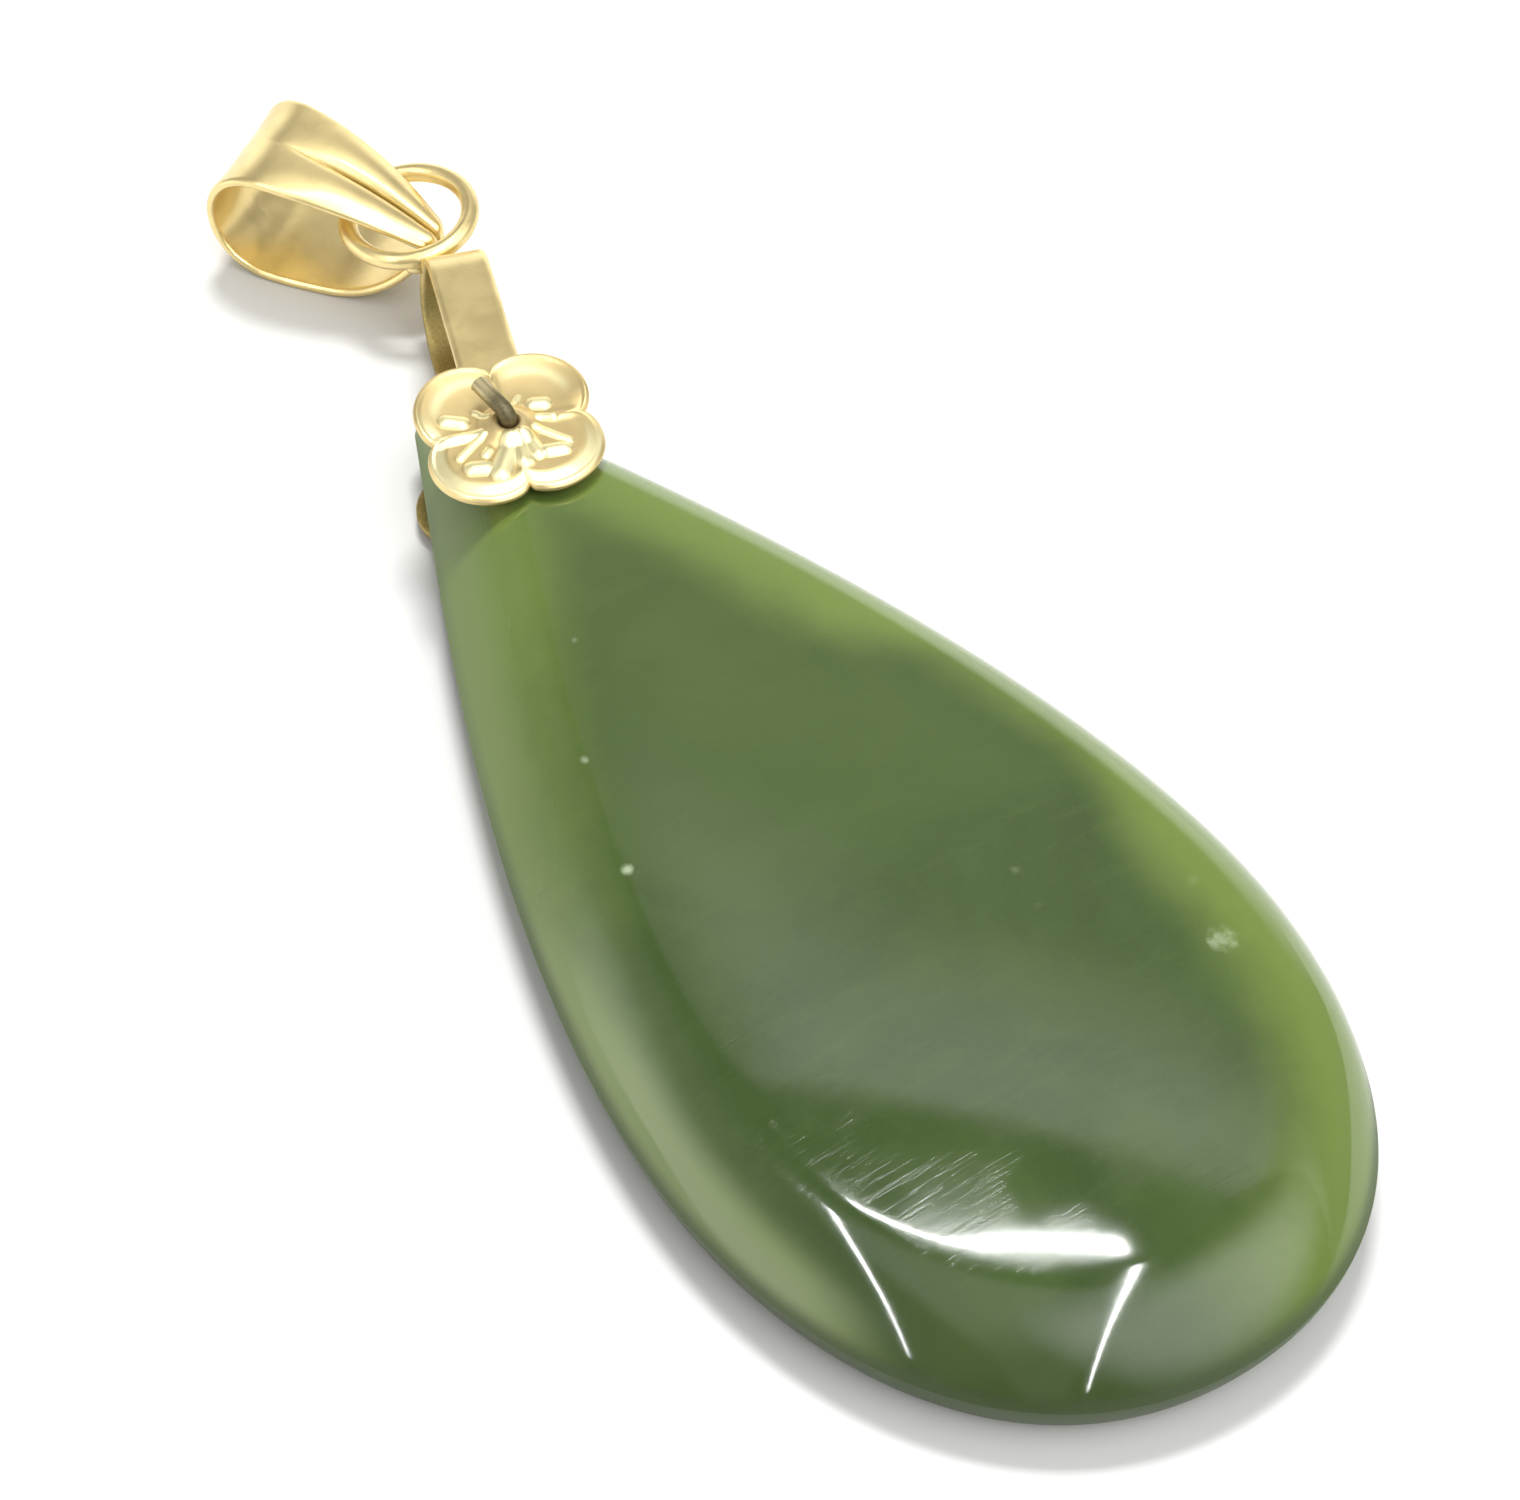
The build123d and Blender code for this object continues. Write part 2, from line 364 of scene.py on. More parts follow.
def polish_marks():
    """Fine scratches that cross, from polishing and wear."""
    tree, given, result = group_of(
        "polish_marks",
        [("Vector", "NodeSocketVector", (0, 0, 0)), ("Per mm", "NodeSocketFloat", 1.0)],
        [("Height", "NodeSocketFloat"), ("Mask", "NodeSocketFloat")],
    )
    size = product(tree, given.outputs["Per mm"], 1 / MM)
    place_mm = scaled(tree, given.outputs["Vector"], size)
    lines = []
    for turn, stretch in ((0.5, 14.0), (-0.9, 11.0), (1.7, 17.0)):
        along = stretched(tree, place_mm, turn, (0.35, stretch, 1.0))
        lines.append(spread(tree, noise(tree, along, 1.0, 2.0, 0.6), 0.58, 0.72))
    patches = spread(tree, noise(tree, place_mm, 0.35, 2.0), 0.45, 0.65)
    feed_all(tree, result, Height=product(tree, most(tree, *lines), patches), Mask=patches)
    return tree


def worn_metal():
    """Bright on open faces, darker and duller where painted shade is asked for, with a faintly uneven tone."""
    tree, given, result = group_of(
        "worn_metal",
        [
            ("Vector", "NodeSocketVector", (0, 0, 0)),
            ("Hollow", "NodeSocketFloat", 0.0),
            ("Bright", "NodeSocketColor", (1, 1, 1, 1)),
            ("Deep", "NodeSocketColor", (0, 0, 0, 1)),
            ("Smoothness", "NodeSocketFloat", 0.12),
        ],
        [("Colour", "NodeSocketColor"), ("Roughness", "NodeSocketFloat"), ("Height", "NodeSocketFloat")],
    )
    _, painted_shade, bright, deep, smoothness, _ = given.outputs
    place_mm = scaled(tree, given.outputs["Vector"], 1 / MM)
    tone = noise(tree, place_mm, 0.8, 3.0, 0.5, 0.4)
    grain = noise(tree, place_mm, 9.0, 3.0, 0.6)
    uneven_colour = mix_colour(tree, spread(tree, tone, 0.35, 0.75, 0.0, 0.22), bright, deep)
    # Painted shade: the mesh's shade amount mixes in the deep colour and roughens the metal
    shade_amount = calculate(tree, "MULTIPLY", painted_shade, spread(tree, grain, 0.2, 0.7, 0.75, 1.0), clamp=True)
    dull = calculate(tree, "MULTIPLY_ADD", shade_amount, 0.22, smoothness)
    feed_all(tree, result, Colour=mix_colour(tree, shade_amount, uneven_colour, deep),
             Roughness=calculate(tree, "MULTIPLY_ADD", grain, 0.07, dull),
             Height=calculate(tree, "MULTIPLY_ADD", tone, 0.8, product(tree, grain, 0.05)))
    return tree


POLISH_MARKS = polish_marks()
WORN_METAL = worn_metal()
SCRATCH_STRENGTH, SCRATCH_DEPTH = 0.25, 0.004


def new_finish(name):
    """A material with one Principled shader: (material, tree, shader, object coordinates)."""
    material = bpy.data.materials.new(name)
    material.use_nodes = True
    tree = material.node_tree
    tree.nodes.clear()
    shader = node(tree, "ShaderNodeBsdfPrincipled")
    output = node(tree, "ShaderNodeOutputMaterial")
    feed(tree, shader.outputs[0], output.inputs["Surface"])
    return material, tree, shader, node(tree, "ShaderNodeTexCoord").outputs["Object"]


# The gold finishes

# The colour of the highlights painted on the flower
HIGHLIGHT_GOLD = (1.0, 0.91, 0.52)
GOLD_METALLIC = 0.88
WAVE_DEPTH = 0.05


def gold_finish(name, bright, deep, smoothness, waviness):
    """Pale gold. One mesh attribute paints shade into its grooves, recesses and shadowed faces, and another
    paints highlights on its marks.
    """
    material, tree, shader, vector = new_finish(name)
    worn = place_group(tree, WORN_METAL, Vector=vector, Hollow=attribute(tree, "painted_shade"),
                       Bright=bright, Deep=deep, Smoothness=smoothness)
    marks = place_group(tree, POLISH_MARKS, Vector=vector, Per_mm=1.4)
    colour = mix_colour(tree, attribute(tree, "painted_highlight"), worn["Colour"], HIGHLIGHT_GOLD)
    waves = bump(tree, worn["Height"], waviness, WAVE_DEPTH)
    feed_all(tree, shader, Base_Color=colour, Roughness=worn["Roughness"], Metallic=GOLD_METALLIC,
             Normal=bump(tree, marks["Height"], SCRATCH_STRENGTH, SCRATCH_DEPTH, waves, invert=True))
    return material


# The jade finish

JADE_DARK = (0.033, 0.061, 0.013)
JADE_CLOUD = (0.049, 0.083, 0.019)
# Partly the tip's own tone, partly painted light through the thinner stone there
JADE_TIP_TONE_AND_GLOW = (0.082, 0.122, 0.024)
JADE_FIBRE = (0.080, 0.120, 0.032)
# Painted light coming through where the stone is thin
JADE_GLOW = (0.124, 0.182, 0.037)
# Painted light on the left rim, on top of the light that it reflects
JADE_LEFT_LIGHT = (0.150, 0.205, 0.055)
# Painted shade on the side wall below the girdle
JADE_WALL_SHADE = (0.040, 0.062, 0.018)
JADE_SPECK = (0.42, 0.5, 0.33)
JADE_GRAIN = (0.12, 0.165, 0.065)
DARK_PATCH = (5.2, 7.2, TOP)
SPECK_DEPTH = 0.3

# Pale specks: place across, place along, size, strength
STONE_SPECKS = [
    (-5.35, 17.2, 0.10, 0.6),
    (-5.92, 16.44, 0.08, 0.5),
    (-4.62, 12.57, 0.10, 0.5),
    (-5.76, 8.55, 0.13, 0.75),
    (-2.44, 16.57, 0.09, 0.4),
    (0.69, 22.43, 0.08, 0.5),
    (6.85, -2.59, 0.32, 0.7),
    (6.83, -3.06, 0.18, 0.6),
    (3.19, 2.34, 0.14, 0.2),
    (2.97, 1.0, 0.12, 0.2),
    (7.79, 4.23, 0.12, 0.2),
    (7.46, -0.43, 0.2, 0.25),
]


def stone_specks(tree, place_mm):
    """How much of a pale speck lies at a point of the stone."""
    ragged = noise(tree, place_mm, 3.0, 3.0, 0.6)
    masks = []
    for across, along, size, strength in STONE_SPECKS:
        away = measured_to(tree, "DISTANCE", place_mm, (across, along, TOP - SPECK_DEPTH))
        away = calculate(tree, "MULTIPLY_ADD", ragged, size * 2.0, calculate(tree, "SUBTRACT", away, size))
        masks.append(spread(tree, away, size * 0.3, size * 2.0, strength, 0.0))
    return most(tree, *masks)


def stone_clouds(tree, place_mm, y):
    """The stone's tone: dark with clouds and fibres, paler towards the tip, partly its own tone and partly
    painted light through the thinner stone there.
    """
    clouds = noise(tree, place_mm, 0.13, 4.0, 0.55, 0.6)
    fibres = noise(tree, stretched(tree, place_mm, 0.45, (0.5, 2.2, 1.0)), 0.8, 4.0, 0.6, 0.8)
    tone = mix_colour(tree, spread(tree, clouds, 0.32, 0.68), JADE_DARK, JADE_CLOUD)
    tone = mix_colour(tree, spread(tree, y, 4.0, 24.0, 0.0, 0.35), tone, JADE_TIP_TONE_AND_GLOW)
    return mix_colour(tree, spread(tree, fibres, 0.5, 0.75, 0.0, 0.14), tone, JADE_FIBRE)


def stone_glow(tree, place_mm, x, y, thin):
    """How much painted light shows through where the stone is thin, a little more towards the tip and on the
    right, but for a dark patch and the round end.
    """
    mottle = noise(tree, place_mm, 0.45, 5.0, 0.6, 0.3)
    ragged = calculate(tree, "MULTIPLY_ADD", mottle, 0.22, calculate(tree, "SUBTRACT", thin, 0.14))
    darker = spread(tree, measured_to(tree, "DISTANCE", place_mm, DARK_PATCH), 2.5, 6.5, -0.32, 0.0)
    uphill = calculate(tree, "MULTIPLY_ADD", y, 0.009, -0.03)
    glow = total(tree, ragged, darker, uphill, product(tree, x, 0.03))
    from_end = calculate(tree, "MULTIPLY_ADD", y, 0.7, x)
    return product(tree, spread(tree, glow, 0.25, 0.85), spread(tree, from_end, -10.5, -5.0, 0.12, 1.0))


def jade_finish():
    """Polished nephrite: dark green with clouds and fibres, with painted light where the stone is thin and on
    its left rim, and painted shade on its side wall.
    """
    material, tree, shader, vector = new_finish("polished_jade")
    place_mm = scaled(tree, vector, 1 / MM)
    x, y, z = parts_of(tree, place_mm)
    thin = attribute(tree, "thinness")
    grain = noise(tree, place_mm, 7.0, 3.0, 0.7)
    marks = place_group(tree, POLISH_MARKS, Vector=vector, Per_mm=0.9)
    # The side wall below the girdle: painted shade in its colour, strongest at the round end, and a duller
    # finish
    wall = spread(tree, z, 1.55, 2.05, 1.0, 0.0)
    # A band low on the left rim that is lightened with painted light
    left_light = product(tree, spread(tree, x, -8.9, -7.6, 0.85, 0.0),
                        spread(tree, z, 2.5, 3.4, 1.0, 0.0), spread(tree, z, 1.3, 1.7))
    left_flank = product(tree, spread(tree, thin, 0.55, 0.8), spread(tree, y, 6.0, 13.0),
                         spread(tree, x, -1.5, 0.5, 1.0, 0.0))
    dull = most(tree, wall, left_flank)

    tone = stone_clouds(tree, place_mm, y)
    for share, colour in (
        (stone_glow(tree, place_mm, x, y, thin), JADE_GLOW),
        (left_light, JADE_LEFT_LIGHT),
        (product(tree, wall, spread(tree, y, 9.0, 19.0, 0.85, 0.35)), JADE_WALL_SHADE),
        (stone_specks(tree, place_mm), JADE_SPECK),
        (spread(tree, grain, 0.3, 0.8, 0.0, 0.06), JADE_GRAIN),
    ):
        tone = mix_colour(tree, share, tone, colour)

    worn = calculate(tree, "MULTIPLY_ADD", marks["Mask"], 0.05, 0.05)
    ripple = bump(tree, noise(tree, place_mm, 1.6, 2.0), 0.03, 0.02)
    feed_all(tree, shader, Base_Color=tone,
             Roughness=total(tree, product(tree, grain, 0.03), worn, product(tree, dull, 0.3)),
             IOR=1.45, Coat_Weight=calculate(tree, "MULTIPLY_ADD", dull, -0.5, 0.5), Coat_Roughness=0.05,
             Coat_IOR=1.5, Subsurface_Weight=0.25, Subsurface_Radius=(1.0, 1.5, 0.5),
             Subsurface_Scale=0.9 * MM,
             Normal=bump(tree, marks["Height"], SCRATCH_STRENGTH, SCRATCH_DEPTH, ripple, invert=True))
    return material


JADE = jade_finish()
# Each finish's second colour is its painted shade and the dark end of its uneven tone
GOLD = gold_finish("pale_yellow_gold", (0.88, 0.71, 0.34), (0.28, 0.21, 0.06), 0.27, 0.4)
GOLD_PLATE = gold_finish("stamped_gold", (0.78, 0.61, 0.29), (0.40, 0.30, 0.12), 0.32, 0.25)
PIN_GOLD = gold_finish("greyed_gold_wire", (0.46, 0.39, 0.22), (0.09, 0.075, 0.04), 0.30, 0.4)


# The stone

def bezier(points, steps):
    """Points along a curve between the first and the last of four points."""
    first, second, third, fourth = (np.array(point, dtype=float) for point in points)
    there = np.linspace(0, 1, steps + 1)[:, None]
    rest = 1 - there
    return (rest ** 3 * first + 3 * rest ** 2 * there * second
            + 3 * rest * there ** 2 * third + there ** 3 * fourth)


def pear(inset):
    """The stone's outline drawn in by an inset, from the round end up the right, and back."""
    lean_across, lean_along = cos(TIP_LEAN), sin(TIP_LEAN)
    radius = max(TIP_RADIUS - inset, TIP_RADIUS / 3)
    apex = REACH - TIP_RADIUS + (TIP_RADIUS - inset) / lean_along
    centre = apex - radius / lean_along
    half = HALF_WIDTH - inset
    tail = TAIL - inset
    low = max(tail / TAIL, 0.05)
    high = max((centre + radius + 0.001) / REACH, 0.02)
    touch = np.array([min(radius * lean_across, half), centre + radius * lean_along])
    upper_end = touch + np.array([lean_along, -lean_across]) * TIP_HANDLE * high
    upper_end[0] = min(upper_end[0], half)
    lower = bezier([(0, -tail), (min(END_HANDLE * low, half), -tail), (half, -LOWER_HANDLE * low), (half, 0)],
                   LOWER_STEPS)
    upper = bezier([(half, 0), (half, UPPER_HANDLE * high), upper_end, touch], UPPER_STEPS)[1:]
    angles = np.linspace(TIP_LEAN, pi / 2, TIP_STEPS + 1)[1:]
    tip_radius = touch[0] / lean_across
    tip_centre = touch[1] - tip_radius * lean_along
    tip = np.column_stack([tip_radius * np.cos(angles), tip_centre + tip_radius * np.sin(angles)])
    right = np.vstack([lower, upper, tip])
    left = right[-2:0:-1] * np.array([-1, 1])
    return np.vstack([right, left])


def crown(points):
    """Height of the crown, which curves both ways and falls more at the round end."""
    across = CROWN_RADIUS - np.sqrt(CROWN_RADIUS ** 2 - points[:, 0] ** 2)
    along = CROWN_LENGTH_RADIUS - np.sqrt(CROWN_LENGTH_RADIUS ** 2 - (points[:, 1] - CREST_UP) ** 2)
    end = np.clip(END_FALL_START - points[:, 1], 0, None) ** 2 / (2 * END_FALL_RADIUS)
    return TOP - across - along - end


def eased(inset, width, power):
    """Rises from 0 at the edge to 1 at a width, fast at first."""
    return 1 - (1 - min(inset / width, 1)) ** power


def shoulder_rise(inset, points):
    """How far the front has risen at an inset: steep on the right, easier on the left and the near side."""
    first = sqrt(eased(EDGE_BREAK, SHOULDER, SHOULDER_POWER))
    steep = (sqrt(eased(inset + EDGE_BREAK, SHOULDER, SHOULDER_POWER)) - first) / (1 - first)
    left = eased(inset, LEFT_SHOULDER, LEFT_POWER)
    easy = eased(inset, END_SHOULDER, END_POWER)
    on_left = smoothstep(1.5, -1.5, points[:, 0])
    near_end = smoothstep(-1.0, 5.0, NEAR_SIDE[0] * points[:, 0] + NEAR_SIDE[1] * points[:, 1])
    side = steep * (1 - on_left) + left * on_left
    return side * (1 - near_end) + easy * near_end


def stone_rows():
    """Rows of points from the middle of the flat back, out, up the side and over the front.

    Each comes with how thin the stone is there.
    """
    for inset in BACK_INSETS:
        yield pear(inset), 0.0, 0.0
    for share in SIDE_SHARES:
        down = 1 - share
        yield pear(TURN_UNDER * (0.25 * down + 0.75 * down ** 2)), GIRDLE * share, SIDE_THINNESS
    rim = list(SHOULDER * (1 - np.cos(np.linspace(0, pi / 2, 34))) ** 1.2)
    rim += list(np.linspace(SHOULDER, END_SHOULDER, 9)[1:])
    for inset in rim + FRONT_INSETS:
        outline = pear(inset)
        heights = GIRDLE + (crown(outline) - GIRDLE) * shoulder_rise(inset, outline)
        yield outline, heights, float(np.clip(1 - inset / THIN_WIDTH, 0, 1))


def cap_strip(start, columns):
    """Quads that close a ring of points, from its right side to its left."""
    faces = []
    for step in range(columns // 2):
        right, right_next = start + step, start + step + 1
        left, left_next = start + (columns - step) % columns, start + columns - step - 1
        faces.append(tuple(dict.fromkeys((right, right_next, left_next, left))))
    return faces


def jade_stone():
    """The pear-shaped cabochon, whose back rises towards the tip."""
    rows, thinness = [], []
    for outline, height, thin in stone_rows():
        rows.append(np.column_stack([outline, np.full(len(outline), height)]))
        thinness += [thin] * len(outline)
    points = np.vstack(rows)
    back = SLOPE_HEIGHT * np.clip((points[:, 1] - SLOPE_START) / (SLOPE_END - SLOPE_START), 0, 1)
    points[:, 2] = np.maximum(points[:, 2], back)
    columns = len(rows[0])
    faces = grid_faces(len(rows), columns, close_columns=True)
    faces += cap_strip(0, columns) + cap_strip((len(rows) - 1) * columns, columns)
    stone = add_mesh("jade_stone", points, faces)
    set_attribute(stone, "thinness", thinness)
    return stone


# The cap's two flowers

# The flower's outline (notch, petal, sharpness) and the relief of its face: heights, widths and reaches in mm,
# and ranges by reach, by distance from the edge or by side
FLOWER_OUTLINE = 2.3, 3.05, 0.6
FACE_HEIGHT = 0.25
UPPER_SIDE = -0.35, 0.35
BOWL_RISE, BOWL_START = 0.085, 1.2
LIP_DROP, LIP_WIDTH, LIP_CURVE = 0.15, 0.65, 1.3
BEAD_RISE, BEAD_RANGE = 0.03, (0.22, 0.08)
ROUND_DROP, ROUND_RANGE = 0.05, (0.08, 0.0)
VEIN_RISE, VEIN_WIDTH, VEIN_START, VEIN_END = 0.05, 0.16, (1.0, 1.5), (0.1, 0.5)
BOSS_RISE, BOSS_RANGE = 0.27, (1.05, 0.45)
BOSS_DIP, DIP_RANGE = 0.08, (0.38, 0.28)
# BAND, CRESCENT and MARK values place painted highlights; FOOT and PIT values place painted shade at the
# marks' feet and round the hole
BAND_INNER, BAND_OUTER, BAND_SIDE, BAND_TURN = (0.60, 0.45), (0.02, 0.08), (0.25, -0.25), 0.35
CRESCENT_PLACE, CRESCENT_WIDTH, CRESCENT_SIDE, CRESCENT_GAP = 0.62, 0.17, (0.25, 0.6), (0.12, 0.3)
CRESCENT_HIGHLIGHT, MARK_HIGHLIGHT, MARK_TOP = 0.9, 0.9, (0.05, 0.5)
FOOT_SHADE, FOOT_START, FOOT_END = 0.2, (0.0, 0.01), (0.04, 0.01)
PIT_SHADE, PIT_RANGE = 0.9, (0.46, 0.30)
DROOP, DROOP_TURN, DROOP_REACH = 0.13, pi / 4 + 0.25, 3.0

# The rolled rim as (drop, out), and the underside by its places from rim to hole
RIM_PROFILE = (0.03, 0.03), (0.08, 0.045), (0.14, 0.03), (0.18, 0.0)
UNDERSIDE_SHARES = 0.96, 0.9, 0.8, 0.65, 0.5, 0.35, 0.2, 0.0
# The last value below is painted shade on the underside
FLOWER_SHEET, UNDERSIDE_TOP, UNDERSIDE_SHADE = 0.2, 0.3, 0.4

# The back plate's outline, the rounding of its edge and where its flat part ends
BACK_OUTLINE = 2.4, 3.25, 0.7
BACK_STEPS, BACK_SOFT, BACK_EASE, BACK_FLAT = 200, 0.05, 0.01, 0.92

# Raised marks on the flower, as (angle, reach) of both ends in degrees and mm, then half width and height
FLOWER_MARKS = [
    ("upper left seed", (157, 1.48), (157, 1.92), 0.30, 0.12),
    ("lower left seed", (222, 2.02), (232, 1.82), 0.33, 0.13),
    ("lower left grain", (223, 1.16), (223, 1.36), 0.17, 0.08),
    ("lower right seed", (303, 1.60), (314, 1.92), 0.31, 0.13),
    ("upper right seed", (36, 1.22), (27, 1.42), 0.29, 0.12),
    ("right grain", (6, 1.00), (-1, 1.37), 0.18, 0.09),
    ("left vein", (184, 1.00), (181, 2.20), 0.24, 0.09),
    ("left thread", (190, 0.90), (205, 1.95), 0.16, 0.10),
    ("bottom fan, left", (262, 0.75), (247, 1.90), 0.38, 0.14),
    ("bottom fan, middle", (275, 0.75), (274, 1.50), 0.36, 0.14),
    ("bottom fan, right", (300, 0.75), (292, 1.45), 0.30, 0.13),
    ("right thread", (-23, 0.88), (-35, 1.93), 0.17, 0.10),
    ("upper left thread", (140, 0.75), (135, 1.20), 0.14, 0.07),
    ("upper right thread", (68, 0.80), (62, 1.25), 0.14, 0.07),
]


def polar(angle_deg, reach):
    return np.array([cos(radians(angle_deg)), sin(radians(angle_deg))]) * reach


def lobed(angle, notch, petal, sharpness):
    """Reach of a four-petal outline at an angle, with its notches on the axes."""
    return notch + (petal - notch) * np.abs(np.sin(2 * angle)) ** sharpness


def raised_marks(x, y):
    """Height that the marks add at points, and how near its mark's top each point lies."""
    height, top = np.zeros_like(x), np.zeros_like(x)
    for _, first, last, half_width, rise in FLOWER_MARKS:
        start, end = polar(*first), polar(*last)
        along = end - start
        share = np.clip(((x - start[0]) * along[0] + (y - start[1]) * along[1]) / along.dot(along), 0, 1)
        away = np.hypot(x - start[0] - share * along[0], y - start[1] - share * along[1]) / half_width
        dome = np.clip(1 - away ** 2, 0, None)
        height = np.maximum(height, rise * dome)
        top = np.maximum(top, smoothstep(*MARK_TOP, dome))
    return height, top


def flower_surface(angle, reach, radius):
    """The flower's face: height above its base plane, its painted shade (in the pit by the hole and at the
    feet of the marks) and its painted highlight (on the marks' tops, a band by the lower edge and crescents on
    the upper petals).
    """
    from_axis = np.abs((angle + pi / 4) % (pi / 2) - pi / 4)
    to_edge = reach - radius
    upper = smoothstep(*UPPER_SIDE, np.sin(angle))
    bowl = BOWL_RISE * np.clip(radius - BOWL_START, 0, None) ** 2 * upper
    lip = -LIP_DROP * np.clip(1 - to_edge / LIP_WIDTH, 0, 1) ** LIP_CURVE * (1 - upper)
    edge = BEAD_RISE * smoothstep(*BEAD_RANGE, to_edge) - ROUND_DROP * smoothstep(*ROUND_RANGE, to_edge)
    vein = VEIN_RISE * bump_at(radius * from_axis, 0.0, VEIN_WIDTH) * smoothstep(*VEIN_START, radius)
    vein = vein * smoothstep(*VEIN_END, to_edge)
    boss = BOSS_RISE * smoothstep(*BOSS_RANGE, radius) - BOSS_DIP * smoothstep(*DIP_RANGE, radius)
    marks, top = raised_marks(radius * np.cos(angle), radius * np.sin(angle))
    # Painted highlight: a band by the lower edge, crescents on the upper petals, and the marks' tops
    band = smoothstep(*BAND_INNER, to_edge) * smoothstep(*BAND_OUTER, to_edge)
    band = band * smoothstep(*BAND_SIDE, np.sin(angle + BAND_TURN))
    crescent = bump_at(to_edge, CRESCENT_PLACE, CRESCENT_WIDTH) * smoothstep(*CRESCENT_SIDE, np.sin(angle))
    crescent = crescent * smoothstep(*CRESCENT_GAP, from_axis)
    top = np.maximum(top, np.maximum(band, CRESCENT_HIGHLIGHT * crescent))
    # Painted shade at the feet of the marks and in the pit round the pin's hole
    foot = FOOT_SHADE * smoothstep(*FOOT_START, marks) * smoothstep(*FOOT_END, marks)
    painted_shade = np.maximum(PIT_SHADE * smoothstep(*PIT_RANGE, radius), foot)
    return FACE_HEIGHT + bowl + lip + edge + vein + boss + marks, painted_shade, top


def flower_row(angles, reach, share):
    """One ring of the face, from hole to rim: (radius, height, painted shade, painted highlight)."""
    radius = HOLE_RADIUS + (reach - HOLE_RADIUS) * share
    height, painted_shade, top = flower_surface(angles, reach, radius)
    droop = DROOP * np.maximum(0, -np.sin(angles + DROOP_TURN))
    return radius, height - droop * (radius / DROOP_REACH) ** 2, painted_shade, top


def flower_cap():
    """The front flower: a stamped plate of four shallow petals, with the pin's hole."""
    angles = angles_of(PETAL_STEPS)
    reach = lobed(angles, *FLOWER_OUTLINE)
    rows, shade_rows, highlight_rows = [], [], []
    for share in np.linspace(0, 1, PETAL_ROWS):
        radius, height, painted_shade, top = flower_row(angles, reach, share)
        rows.append(circle_row(angles, radius, height))
        shade_rows.append(painted_shade)
        highlight_rows.append(MARK_HIGHLIGHT * top)
    edge = rows[-1]
    for drop, out in RIM_PROFILE:
        grown = edge[:, :2] * (1 + out / reach[:, None])
        rows.append(np.column_stack([grown, edge[:, 2] - drop]))
        shade_rows.append(np.zeros(PETAL_STEPS))
    # The underside, all in painted shade
    for share in UNDERSIDE_SHARES:
        radius, height, _, _ = flower_row(angles, reach, share)
        rows.append(circle_row(angles, radius, np.clip(height - FLOWER_SHEET, 0.0, UNDERSIDE_TOP)))
        shade_rows.append(np.full(PETAL_STEPS, UNDERSIDE_SHADE))
    plate = closed_grid("flower_cap", rows)
    set_attribute(plate, "painted_shade", np.concatenate(shade_rows))
    # Painted highlight on the face only, none on the rim or underside
    plain = np.zeros((len(rows) - PETAL_ROWS) * PETAL_STEPS)
    set_attribute(plate, "painted_highlight", np.concatenate(highlight_rows + [plain]))
    return place(plate, turned(CAP_TURN, (*HOLE, FLOWER_BASE)))


def back_plate():
    """The plain four-petal plate under the stone, with a softened edge."""
    angles = angles_of(BACK_STEPS)
    reach = lobed(angles, *BACK_OUTLINE)
    low, high, soft, ease, flat = back_low[2], back_high[2], BACK_SOFT, BACK_EASE, BACK_FLAT
    profile = [
        (0.0, 0, high), (0.5, 0, high), (flat, 0, high), (1.0, soft, high - ease), (1.0, 0, high - soft),
        (1.0, 0, low + soft), (1.0, soft, low + ease), (flat, 0, low), (0.5, 0, low), (0.0, 0, low),
    ]
    rows = [circle_row(angles, HOLE_RADIUS + (reach - inset - HOLE_RADIUS) * share, height)
            for share, inset, height in profile]
    plate = closed_grid("back_plate", rows)
    # The whole plate gets painted shade, as it lies in the stone's shadow
    set_attribute(plate, "painted_shade", np.ones(len(plate.data.vertices)))
    return place(plate, turned(BACK_PLATE_TURN, (*HOLE, 0)))


# The pin

CORNER_STEPS, WIRE_STEP, WIRE_SIDES = 12, 0.06, 28


def wire_tree():
    """A round wire along a line of edges, with rounded corners."""
    tree, given, result = group_of("wire_along_a_line", [
        ("Geometry", "NodeSocketGeometry", None),
        ("Wire radius", "NodeSocketFloat", 0.3 * MM),
        ("Corner radius", "NodeSocketFloat", 0.3 * MM),
        ("Sides", "NodeSocketInt", 24),
        ("Material", "NodeSocketMaterial", None),
    ], [("Geometry", "NodeSocketGeometry")], "GeometryNodeTree")
    kinds = ("MeshToCurve", "FilletCurve", "ResampleCurve", "CurvePrimitiveCircle", "CurveToMesh",
             "RealizeInstances", "SetShadeSmooth", "SetMaterial")
    line, corner, even, section, swept, real, smooth, paint = (
        node(tree, "GeometryNode" + kind) for kind in kinds)
    corner.mode, even.mode = "POLY", "LENGTH"
    feed(tree, given.outputs["Geometry"], line.inputs[0])
    feed_all(tree, corner, Curve=line.outputs[0], Radius=given.outputs["Corner radius"], Count=CORNER_STEPS)
    feed_all(tree, even, Curve=corner.outputs[0], Length=WIRE_STEP * MM)
    feed_all(tree, section, Resolution=given.outputs["Sides"], Radius=given.outputs["Wire radius"])
    feed_all(tree, swept, Curve=even.outputs[0], Profile_Curve=section.outputs[0], Fill_Caps=True)
    feed_all(tree, real, Geometry=swept.outputs[0])
    feed_all(tree, smooth, Geometry=real.outputs[0])
    feed_all(tree, paint, Geometry=smooth.outputs[0], Material=given.outputs["Material"])
    feed_all(tree, result, Geometry=paint.outputs[0])
    return tree


